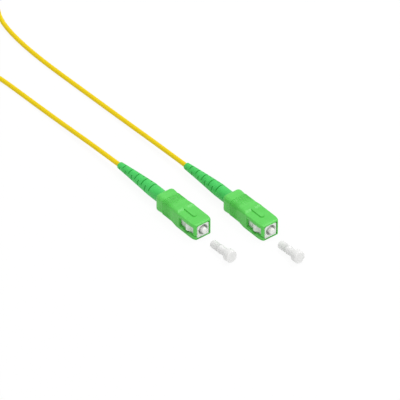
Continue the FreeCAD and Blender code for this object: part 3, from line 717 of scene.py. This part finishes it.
def housing_mesh(name):
    """The sleeve as an outer and an inner sheet over the same rows and columns, with open cells.

    Outside, the section is a rounded rectangle. Its sides, top and bottom fall off to the ends by
    quarter ellipses. The grip's saddle lowers them by depth * (1 - u * u) ** power, from which the ribs rise
    again. The key raises the top to the grip's level where the distance to its middle line is under
    KEY_HALF. Inside are the square cavity and, behind it, the round bore. Cells of the windows, notches
    and slits are left out of both sheets, and a strip joins the sheets along each edge of what is left.
    """
    columns = housing_columns()
    level = columns[4]
    x = housing_stations()[:, None]
    rear_saddle, front_saddle = SADDLE_ENDS
    from_middle = (x - (rear_saddle + front_saddle) / 2) / ((front_saddle - rear_saddle) / 2)
    saddle = SADDLE_DEPTH * np.clip(1.0 - from_middle * from_middle, 0.0, 1.0) ** SADDLE_POWER
    from_rib = np.abs(x - RIB_PLACES).min(axis=1, keepdims=True)
    rib = np.clip((RIB_HALF - from_rib) / RIB_SLOPE, 0.0, 1.0) * np.minimum(RIB_RISE, saddle)
    fall = saddle - rib
    step = np.clip((STEP_FOOT - x) / STEP_RAMP, 0.0, 1.0) * GRIP_STEP
    half = HOUSING_HALF - fall
    half = half - round_off(x, HOUSING_NOSE - NOSE_SIDE[0], NOSE_SIDE)
    half = half - round_off(-x, -HOUSING_REAR - REAR_SIDE[0], REAR_SIDE)
    top = HOUSING_TOP + step - fall - round_off(x, HOUSING_NOSE - NOSE_TOP[0], NOSE_TOP)
    top = top - round_off(-x, -HOUSING_REAR - REAR_TOP[0], REAR_TOP)
    bottom = HOUSING_BOTTOM + fall + round_off(-x, -HOUSING_REAR - REAR_BOTTOM[0], REAR_BOTTOM)
    shrink = round_off(-x, -HOUSING_REAR - REAR_TOP[0], REAR_TOP)
    upper = np.interp(x, CORNER_PLACES, UPPER_CORNER) - shrink * CORNER_SHRINK
    lower = np.interp(x, CORNER_PLACES, LOWER_CORNER) - shrink * CORNER_SHRINK
    y, z = rounded_section(columns, half, top, bottom, upper, lower)
    from_key = np.hypot(np.maximum(x - KEY_MIDDLE, 0.0), y)
    key = np.clip((KEY_HALF + KEY_SLOPE / 2 - from_key) / KEY_SLOPE, 0.0, 1.0)
    key = np.where((columns[3] == 1.0) & (x > STEP_FOOT - STEP_RAMP), key, 0.0)
    z = np.maximum(z, np.where(key > 0.0, HOUSING_TOP + GRIP_STEP * key, -HOUSING_TOP * 2))
    rear_notch, front_notch = NOTCH_ENDS
    to_end = np.minimum(front_notch - x, x - rear_notch)
    ramp = np.clip(to_end / NOTCH_RAMP, NOTCH_RAMP_LEAST, 1.0)
    notch_level = np.where(to_end > -0.001, -WINDOW_HALF + (NOTCH_FLOOR + WINDOW_HALF) * ramp, NOTCH_FLOOR)
    in_notch = (level == NOTCH_FLOOR) & (x > STEP_FOOT)
    z = np.where(in_notch, notch_level, z)
    cavity = (CAVITY_HALF, CAVITY_TOP, CAVITY_BOTTOM, CAVITY_ROUND, CAVITY_ROUND)
    inner_y, inner_z = rounded_section(columns, *cavity)
    outer_level = np.where(in_notch, notch_level, np.nan_to_num(level))
    inner_y = np.broadcast_to(inner_y, y.shape)
    inner_z = np.where(np.isnan(level), inner_z, np.interp(outer_level, SIDE_LEVELS, INNER_LEVELS))
    bore_angle = np.arctan2(inner_z, inner_y)
    behind = x < CAVITY_REAR - 0.001
    inner_y = np.where(behind, REAR_BORE * np.cos(bore_angle), inner_y)
    inner_z = np.where(behind, REAR_BORE * np.sin(bore_angle), inner_z)
    inner_x = np.where(behind & ~np.roll(behind, 1, axis=0), CAVITY_REAR, x)
    outer = np.stack([np.broadcast_to(x, y.shape), y, z], axis=-1) * MM
    inner = np.stack([np.broadcast_to(inner_x, y.shape), inner_y, inner_z], axis=-1) * MM
    middle = (x[:-1] + x[1:]) / 2
    mean_level = (level + np.roll(level, -1)) / 2
    rear_window, front_window = WINDOW_ENDS
    in_window = (middle > rear_window) & (middle < front_window) & (np.abs(mean_level) < WINDOW_HALF)
    below = (mean_level < -WINDOW_HALF) & (mean_level > NOTCH_FLOOR)
    in_notch = (middle > rear_notch) & (middle < front_notch) & below
    in_slit = (middle > front_window) & (mean_level > -WINDOW_HALF) & (mean_level < SLIT_TOP)
    return pierced_shell(name, outer, inner, ~(in_window | in_notch | in_slit))


def pierced_shell(name, outer, inner, keep):
    """A closed mesh from two sheets of points, rows by columns, and the mask of the cells that stay.

    A kept cell gives a quad on each sheet. Where a kept cell borders on an open one, or on the first or the
    last row, a quad joins the two sheets. Columns go round and close.
    """
    rows, columns, _ = outer.shape
    count = rows * columns
    point = np.arange(count).reshape(rows, columns)
    beside = np.roll(point, -1, axis=1)
    sheet = np.stack([point[:-1], beside[:-1], beside[1:], point[1:]], axis=-1)[keep]
    closed = np.zeros((1, columns), bool)
    across = np.vstack([closed, keep]) != np.vstack([keep, closed])
    along = keep != np.roll(keep, 1, axis=1)
    across_walls = np.stack([point, beside, beside + count, point + count], axis=-1)[across]
    along_walls = np.stack([point[:-1], point[1:], point[1:] + count, point[:-1] + count], axis=-1)[along]
    quads = np.vstack([sheet, sheet[:, ::-1] + count, across_walls, along_walls])
    mesh = bpy.data.meshes.new(name)
    mesh.from_pydata(np.vstack([outer.reshape(-1, 3), inner.reshape(-1, 3)]), [], quads)
    return mesh


def round_edges(piece, width):
    """Rounds the sharp edges. Each takes the full width, or ROUND_SHARE of the narrowest face beside it.

    That face's width is its area over the edge's length. Flat faces keep their own normal.
    """
    work = bmesh.new()
    work.from_mesh(piece.data)
    weight = work.edges.layers.float.new("bevel_weight_edge")
    for edge in work.edges:
        if len(edge.link_faces) == 2 and edge.calc_face_angle() > math.radians(38.0):
            room = min(face.calc_area() for face in edge.link_faces) / edge.calc_length()
            edge[weight] = min(1.0, ROUND_SHARE * room / (width * MM))
    work.to_mesh(piece.data)
    work.free()
    bevel = piece.modifiers.new("rounded_edges", "BEVEL")
    bevel.limit_method = "WEIGHT"
    bevel.width = width * MM
    bevel.segments = 3
    bevel.use_clamp_overlap = False
    flat = piece.modifiers.new("flat_faces", "WEIGHTED_NORMAL")
    flat.keep_sharp = True


def housing_material():
    """Hard green plastic with a light satin: spark grain, a slow mottle, a parting line low on the sides."""
    tones = (HOUSING_GREEN, HOUSING_PALE)
    seam = (PARTING_HEIGHT, 0.05)
    made = moulded_material("housing_green", 0.34, (9000.0, 240.0), tones, seam, (0.3, 0.02))
    material, tree, shader, skin = made
    rough = arithmetic(tree, "ADD", arithmetic(tree, "MULTIPLY", skin.outputs["Grain"], 0.16), 0.27)
    tree.links.new(rough, shader.inputs["Roughness"])
    shader.inputs["Specular IOR Level"].default_value = HOUSING_SHEEN
    return material


housing_green = housing_material()
for side in SIDES:
    name = "push_pull_housing_" + side
    housing = finished_piece(name, moved_mesh(housing_mesh(name), side))
    round_edges(housing, HOUSING_ROUND)
    dress(housing, "outer_housing_" + side, "grip_" + side, housing_green)


# The plug frames: one white moulding each, which holds the spring and the ferrule in its stepped bore. Its
# two side lugs stand in the housing's windows, and its chamfered nose shows inside the green one.
# Both tones are dimmed and tinted green as painted shade and painted green bounce light from the sleeve.
# Their difference is a random mottle.
FRAME_WHITE_GREEN_BOUNCE_SHADED = (0.78, 0.83, 0.77, 1.0)
FRAME_MOTTLE_GREEN_BOUNCE_SHADED = (0.73, 0.78, 0.72, 1.0)
FRAME_ROUND = 0.1
FRAME_SKIN = 2.75
FRAME_EDGE = 2.3
FRAME_WIDER = 0.2
FRAME_DEEPER = 0.45


def copied_mesh(name, node):
    """A solid's own mesh with its loose triangles merged and each flat stretch made one face."""
    source = bpy.data.objects[node].data
    corners = np.zeros(len(source.loops), np.int32)
    source.loops.foreach_get("vertex_index", corners)
    mesh = bpy.data.meshes.new(name)
    mesh.from_pydata(mesh_points(source), [], corners.reshape(-1, 3))
    work = bmesh.new()
    work.from_mesh(mesh)
    bmesh.ops.remove_doubles(work, verts=work.verts, dist=0.002 * MM)
    bmesh.ops.dissolve_degenerate(work, edges=work.edges, dist=0.001 * MM)
    bmesh.ops.dissolve_limit(work, angle_limit=math.radians(0.5), verts=work.verts, edges=work.edges)
    work.to_mesh(mesh)
    work.free()
    return mesh


def frame_mesh(name, node):
    """The solid's mesh with its sides and its floor a little nearer to the housing's walls.

    Only the outer skin moves: the points that are FRAME_SKIN or more from the axis.
    """
    mesh = copied_mesh(name, node)
    low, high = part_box(node)
    places = mesh_points(mesh)
    across = (places[:, 1] - low.y - (high.y - low.y) / 2) / MM
    up = places[:, 2] / MM
    skin = np.hypot(across, up) > FRAME_SKIN
    places[:, 1] += np.where(skin & (np.abs(across) > FRAME_EDGE), np.sign(across) * FRAME_WIDER * MM, 0.0)
    places[:, 2] -= np.where(skin & (up < -FRAME_EDGE), FRAME_DEEPER * MM, 0.0)
    mesh.vertices.foreach_set("co", places.ravel())
    mesh.update()
    return mesh


def frame_material():
    """White glass-filled plastic, dimmed and tinted green as painted shade and painted green bounce light: a
    fine grain, faint flow marks and a fine parting line.
    """
    tones = (FRAME_MOTTLE_GREEN_BOUNCE_SHADED, FRAME_WHITE_GREEN_BOUNCE_SHADED, 0.35, 0.65)
    return moulded_material("frame_white", 0.38, (8000.0, 420.0), tones, (0.0, 0.06), (0.3, 0.02))[0]


frame_white = frame_material()
for side in SIDES:
    name = "inner_frame_" + side
    inner = finished_piece(name, frame_mesh(name, "plug_frame_" + side))
    round_edges(inner, FRAME_ROUND)
    dress(inner, "plug_frame_" + side, "root", frame_white)


# The ferrules: a rod of zirconia each, ground and polished, pressed into a steel flange. The fibre ends in
# the middle of its face, which is ground at an angle so that light can't run back.
FERRULE_RADIUS = 1.25
FERRULE_TIP_RADIUS = 0.85
FERRULE_CHAMFER = 0.4
FERRULE_EDGE = (0.05, 0.012)
FERRULE_REAR_CHAMFER = 0.22
FERRULE_FACE_SLOPE = math.tan(math.radians(8.0))
FERRULE_COLUMNS = 96
FACE_RINGS = (0.97, 0.6, 0.2, 0.09, 0.06, 0.0)
FIBRE_RADIUS = 0.0625
ZIRCONIA = (0.86, 0.86, 0.84, 1.0)
ZIRCONIA_GROUND = (0.80, 0.80, 0.775, 1.0)
FIBRE_GLASS = (0.25, 0.27, 0.30, 1.0)


def ferrule_mesh(name):
    """The rod as a profile carried round the axis, and its angled face as rings inside the rim.

    The face is the plane x = middle + z * slope. It meets the cone of the chamfer, where the radius is
    FERRULE_RADIUS - (x - start of the chamfer), at the radius
    (FERRULE_RADIUS + start - middle) / (1 + slope * sin(angle)).
    """
    low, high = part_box("ferrule_a")
    rear = low.x / MM
    chamfer = high.x / MM - FERRULE_CHAMFER
    middle = high.x / MM - FERRULE_TIP_RADIUS * FERRULE_FACE_SLOPE
    angle = np.linspace(0.0, 2 * math.pi, FERRULE_COLUMNS, endpoint=False)
    rim = (FERRULE_RADIUS + chamfer - middle) / (1 + FERRULE_FACE_SLOPE * np.sin(angle))
    body = [
        (rear, 0.0),
        (rear, FERRULE_RADIUS - FERRULE_REAR_CHAMFER),
        (rear + FERRULE_REAR_CHAMFER, FERRULE_RADIUS),
        (chamfer - FERRULE_EDGE[0], FERRULE_RADIUS),
        (chamfer, FERRULE_RADIUS - FERRULE_EDGE[1]),
    ]
    rows = [(np.full_like(angle, x), np.full_like(angle, radius)) for x, radius in body]
    face = [rim * share for share in (1.0,) + FACE_RINGS]
    rows += [(middle + ring * FERRULE_FACE_SLOPE * np.sin(angle), ring) for ring in face]
    x, radius = (np.array(values) for values in zip(*rows))
    grid = np.stack([x, radius * np.cos(angle), radius * np.sin(angle)], axis=-1) * MM
    mesh = grid_mesh(name, grid)
    mesh.attributes.new("from_axis", "FLOAT", "POINT").data.foreach_set("value", radius.ravel() * MM)
    return mesh


def ferrule_material():
    """Polished zirconia with fine grinding rings along the rod, and the fibre's end in its face."""
    material, tree, shader = new_material("zirconia", 0.12)
    place = tree.nodes.new("ShaderNodeTexCoord")
    along = tree.nodes.new("ShaderNodeMapping")
    along.inputs["Scale"].default_value = (22000.0, 0.0, 0.0)
    rings = tree.nodes.new("ShaderNodeTexNoise")
    rings.inputs["Scale"].default_value = 1.0
    tree.links.new(place.outputs["Object"], along.inputs["Vector"])
    tree.links.new(along.outputs["Vector"], rings.inputs["Vector"])
    axis = tree.nodes.new("ShaderNodeAttribute")
    axis.attribute_name = "from_axis"
    cloud = placed_group(tree, plastic_skin, Grain_Scale=5000.0, Mottle_Scale=600.0)
    ceramic = blend_colours(
        tree, spread_mask(tree, cloud.outputs["Mottle"], 0.3, 0.7), ZIRCONIA_GROUND, ZIRCONIA
    )
    glass = spread_mask(tree, axis.outputs["Fac"], FIBRE_RADIUS * 1.05 * MM, FIBRE_RADIUS * 0.95 * MM)
    mix = tree.nodes.new("ShaderNodeMix")
    mix.data_type = "RGBA"
    mix.inputs["B"].default_value = FIBRE_GLASS
    tree.links.new(glass, mix.inputs["Factor"])
    tree.links.new(ceramic, mix.inputs["A"])
    tree.links.new(mix.outputs["Result"], shader.inputs["Base Color"])
    raise_bumps(tree, shader, rings.outputs["Fac"], 0.0015 * MM, 0.5)
    shader.inputs["Coat Weight"].default_value = 0.3
    return material


zirconia = ferrule_material()
for side in SIDES:
    name = "ferrule_rod_" + side
    rod = finished_piece(name, moved_mesh(ferrule_mesh(name), side))
    dress(rod, "ferrule_" + side, "ferrule_unit_" + side, zirconia)


# The metal inside each plug: the flange on the ferrule, the stop ring that closes the frame, and the crimp
# ring that holds the yarn. All are turned from bar, and the crimp ring is squeezed to a hexagon.
TURNED_RING_SCALE = 16000.0


def turned_metal_group():
    """The lathe's fine rings round the plug's axis, and a slow change of tarnish along and around it."""
    group, given, result = node_group("turned_metal", {"Tarnish Scale": 700.0}, ["Rings", "Tarnish"])
    place = group.nodes.new("ShaderNodeTexCoord")
    along = group.nodes.new("ShaderNodeMapping")
    along.inputs["Scale"].default_value = (TURNED_RING_SCALE, 0.0, 0.0)
    group.links.new(place.outputs["Object"], along.inputs["Vector"])
    rings = group.nodes.new("ShaderNodeTexNoise")
    rings.inputs["Scale"].default_value = 1.0
    rings.inputs["Detail"].default_value = 3.0
    group.links.new(along.outputs["Vector"], rings.inputs["Vector"])
    tarnish = group.nodes.new("ShaderNodeTexNoise")
    group.links.new(place.outputs["Object"], tarnish.inputs["Vector"])
    group.links.new(given.outputs["Tarnish Scale"], tarnish.inputs["Scale"])
    group.links.new(rings.outputs["Fac"], result.inputs["Rings"])
    group.links.new(tarnish.outputs["Fac"], result.inputs["Tarnish"])
    return group


turned_metal = turned_metal_group()


def metal_material(name, clean, tarnished, roughness):
    """A turned metal between its clean and its tarnished colour, a little rougher where it is tarnished."""
    material, tree, shader = new_material(name, roughness)
    marks = placed_group(tree, turned_metal)
    tarnish = two_toned(tree, shader, marks.outputs["Tarnish"], clean, tarnished, 0.35, 0.65)
    rough = arithmetic(tree, "ADD", arithmetic(tree, "MULTIPLY", tarnish, 0.12), roughness)
    tree.links.new(rough, shader.inputs["Roughness"])
    raise_bumps(tree, shader, marks.outputs["Rings"], 0.004 * MM)
    shader.inputs["Metallic"].default_value = 1.0
    return material


METALS = {
    "ferrule_flange": metal_material("flange_steel", (0.62, 0.61, 0.59, 1.0), (0.50, 0.49, 0.47, 1.0), 0.26),
    "stop_ring": metal_material("stop_ring_metal", (0.72, 0.72, 0.71, 1.0), (0.60, 0.60, 0.60, 1.0), 0.30),
    "crimp_ring": metal_material("crimp_metal", (0.76, 0.60, 0.30, 1.0), (0.58, 0.42, 0.19, 1.0), 0.28),
}
for side in SIDES:
    for node, metal in METALS.items():
        bpy.data.objects[node + "_" + side].data.materials[0] = metal


# The springs: one wire each, wound in four turns with closed ends, between the flange and the stop ring. It
# keeps the ferrules of two plugs pressed together, and gives by a millimetre.
SPRING_WIRE = 0.4
SPRING_TURNS = 4.0
SPRING_END_TURN = 0.75
SPRING_STEPS = 180
SPRING_SIDES = 14


def spring_mesh(name):
    """A round wire carried along a helix on the plug's axis.

    The angle grows evenly. The place along the axis stays at each end for SPRING_END_TURN, as closed end
    turns do, and rises evenly between them. Each ring of wire lies across the helix's own direction.
    """
    low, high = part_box("spring_a")
    radius = high.y / MM - SPRING_WIRE / 2
    start = low.x / MM + SPRING_WIRE / 2
    end = high.x / MM - SPRING_WIRE / 2
    turn = np.linspace(0.0, SPRING_TURNS, SPRING_STEPS)
    flat = SPRING_END_TURN / 2
    share = np.clip((turn - flat) / (SPRING_TURNS - 2 * flat), 0.0, 1.0)
    angle = 2 * math.pi * turn
    centre = np.stack([start + (end - start) * share, radius * np.cos(angle), radius * np.sin(angle)], -1)
    ahead = np.gradient(centre, axis=0)
    ahead /= np.linalg.norm(ahead, axis=1)[:, None]
    outward = np.stack([np.zeros_like(angle), np.cos(angle), np.sin(angle)], -1)
    beside = np.cross(ahead, outward)
    ring = np.linspace(0.0, 2 * math.pi, SPRING_SIDES, endpoint=False)[None, :, None]
    wire = SPRING_WIRE / 2 * np.concatenate([[0.0], np.ones(SPRING_STEPS), [0.0]])[:, None, None]
    centre, outward, beside = (
        np.vstack([line[:1], line, line[-1:]])[:, None, :] for line in (centre, outward, beside)
    )
    return grid_mesh(name, (centre + wire * (outward * np.cos(ring) + beside * np.sin(ring))) * MM)


spring_steel = metal_material("spring_steel", (0.56, 0.56, 0.57, 1.0), (0.44, 0.43, 0.42, 1.0), 0.24)
for side in SIDES:
    name = "wound_spring_" + side
    coiled = finished_piece(name, moved_mesh(spring_mesh(name), side), 50.0)
    dress(coiled, "spring_" + side, "root", spring_steel)
    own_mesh(coiled)


# The buffered fibre inside each plug: glass in a soft white coating, extruded, which slides with its ferrule
# through the stop ring.
BUFFER_WHITE = (0.84, 0.84, 0.81, 1.0)
BUFFER_SHADE = (0.77, 0.77, 0.73, 1.0)


def buffer_material():
    """Soft matt white coating with a faint drawn grain."""
    material, tree, shader = new_material("buffer_white", 0.55)
    skin = placed_group(tree, plastic_skin, Grain_Scale=9000.0, Mottle_Scale=500.0)
    two_toned(tree, shader, skin.outputs["Mottle"], BUFFER_SHADE, BUFFER_WHITE)
    raise_bumps(tree, shader, skin.outputs["Grain"], 0.006 * MM)
    return material


buffer_white = buffer_material()
for side in SIDES:
    bpy.data.objects["fibre_buffer_" + side].data.materials[0] = buffer_white


# The dust caps: one translucent, pale moulding each, a hollow stem that goes on the ferrule, with a ring,
# four flutes and a thick round head to pull. They are taken off, and lie on the table ahead of the plugs.
CAP_COLUMNS = 96
CAP_LENGTH = 12.5
CAP_STEM = 1.7
CAP_HEAD = 2.6
CAP_HEAD_AT = 9.7
CAP_HEAD_ROUND = 0.55
CAP_HEAD_LOW_ROUND = 0.3
CAP_END_ROUND = 0.25
CAP_EDGE = 0.08
CAP_RING = 1.78
CAP_RING_AT = 4.9
CAP_RING_WIDTH = 0.7
CAP_BORE = 1.29
CAP_BORE_DEPTH = 9.2
CAP_FLUTES = 4
CAP_FLUTE_WIDTH = 0.5
CAP_FLUTE_DEPTH = 0.08
CAP_PLACE = (7.7, -1.0)
CAP_YAW = math.radians(-1.5)
CAP_CLEAR = (0.775, 0.775, 0.765, 1.0)
CAP_CLOUD = (0.755, 0.755, 0.745, 1.0)


def quarter(x, radius, size, from_angle, to_angle, steps=4):
    """Points of an arc round the middle (x, radius), between two angles in degrees from +X."""
    turn = np.radians(np.linspace(from_angle, to_angle, steps + 1))
    return [(x + size * math.cos(t), radius + size * math.sin(t)) for t in turn]


def cap_mesh(name):
    """The cap's profile carried round its axis, from the bore's floor to the middle of the head.

    The flutes lower the radius by CAP_FLUTE_DEPTH where |sin| of the angle to a flute's middle, times
    the radius, is under half the flute's width, along the stem between the ring and the head. The cap
    lies on its head's rim and its stem's end: it is tilted by atan(rise / reach) about Y, then turned
    about Z.
    """
    ring_end = CAP_RING_AT + CAP_RING_WIDTH
    edge = CAP_EDGE
    end_round = CAP_END_ROUND * 0.8
    profile = [(CAP_BORE_DEPTH, 0.0), (CAP_BORE_DEPTH, CAP_BORE), (CAP_END_ROUND, CAP_BORE)]
    profile += quarter(end_round, CAP_STEM - end_round, end_round, 180, 90)
    profile += [(CAP_RING_AT - edge, CAP_STEM), (CAP_RING_AT, CAP_STEM + edge)]
    profile += [(CAP_RING_AT + edge, CAP_RING)]
    profile += [(ring_end - edge, CAP_RING), (ring_end, CAP_STEM + edge), (ring_end + edge, CAP_STEM)]
    fluted = len(profile)
    profile += [(ring_end + 2 * edge, CAP_STEM), (CAP_HEAD_AT - 3 * edge, CAP_STEM)]
    unfluted = len(profile)
    profile += [(CAP_HEAD_AT - edge, CAP_STEM), (CAP_HEAD_AT, CAP_STEM + edge)]
    low_round = CAP_HEAD_LOW_ROUND
    profile += quarter(CAP_HEAD_AT + low_round, CAP_HEAD - low_round, low_round, 180, 90)
    profile += quarter(CAP_LENGTH - CAP_HEAD_ROUND, CAP_HEAD - CAP_HEAD_ROUND, CAP_HEAD_ROUND, 90, 0, 6)
    profile += [(CAP_LENGTH, 0.0)]
    along, radius = np.array(profile).T[:, :, None]
    angle = np.linspace(0.0, 2 * math.pi, CAP_COLUMNS, endpoint=False)[None, :]
    step = 2 * math.pi / CAP_FLUTES
    from_flute = (angle - step / 2) % step - step / 2
    inside = np.abs(np.sin(from_flute)) * CAP_STEM < CAP_FLUTE_WIDTH / 2
    rows = np.zeros_like(along)
    rows[fluted:unfluted] = CAP_FLUTE_DEPTH
    radius = radius - rows * inside
    grid = np.stack(
        [np.broadcast_to(along, radius.shape), radius * np.cos(angle), radius * np.sin(angle)], axis=-1
    )
    tilt = math.atan2(CAP_HEAD - CAP_STEM, CAP_HEAD_AT)
    lean = np.array([[math.cos(tilt), 0, -math.sin(tilt)], [0, 1, 0], [math.sin(tilt), 0, math.cos(tilt)]])
    yaw = np.array(
        [[math.cos(CAP_YAW), -math.sin(CAP_YAW), 0], [math.sin(CAP_YAW), math.cos(CAP_YAW), 0], [0, 0, 1]]
    )
    place = np.array([CAP_PLACE[0], CAP_PLACE[1], cad_low.z / MM + CAP_STEM * math.cos(tilt)])
    return grid_mesh(name, (grid @ lean.T @ yaw.T + place) * MM)


def cap_material():
    """Cloudy translucent plastic: light passes into it, and a soft gloss lies on its rounded edges."""
    tones = (CAP_CLOUD, CAP_CLEAR)
    made = moulded_material("cap_clear", 0.30, (6000.0, 300.0), tones, (-2.0, 0.05), (0.25, 0.01))
    material, _, shader, _ = made
    shader.inputs["Subsurface Weight"].default_value = 0.15
    shader.inputs["Subsurface Radius"].default_value = (1.0, 1.0, 1.0)
    shader.inputs["Subsurface Scale"].default_value = 1.2 * MM
    return material


cap_clear = cap_material()
for side in SIDES:
    name = "ferrule_cap_" + side
    cap = finished_piece(name, moved_mesh(cap_mesh(name), side), 50.0)
    dress(cap, "dust_cap_" + side, "root", cap_clear)
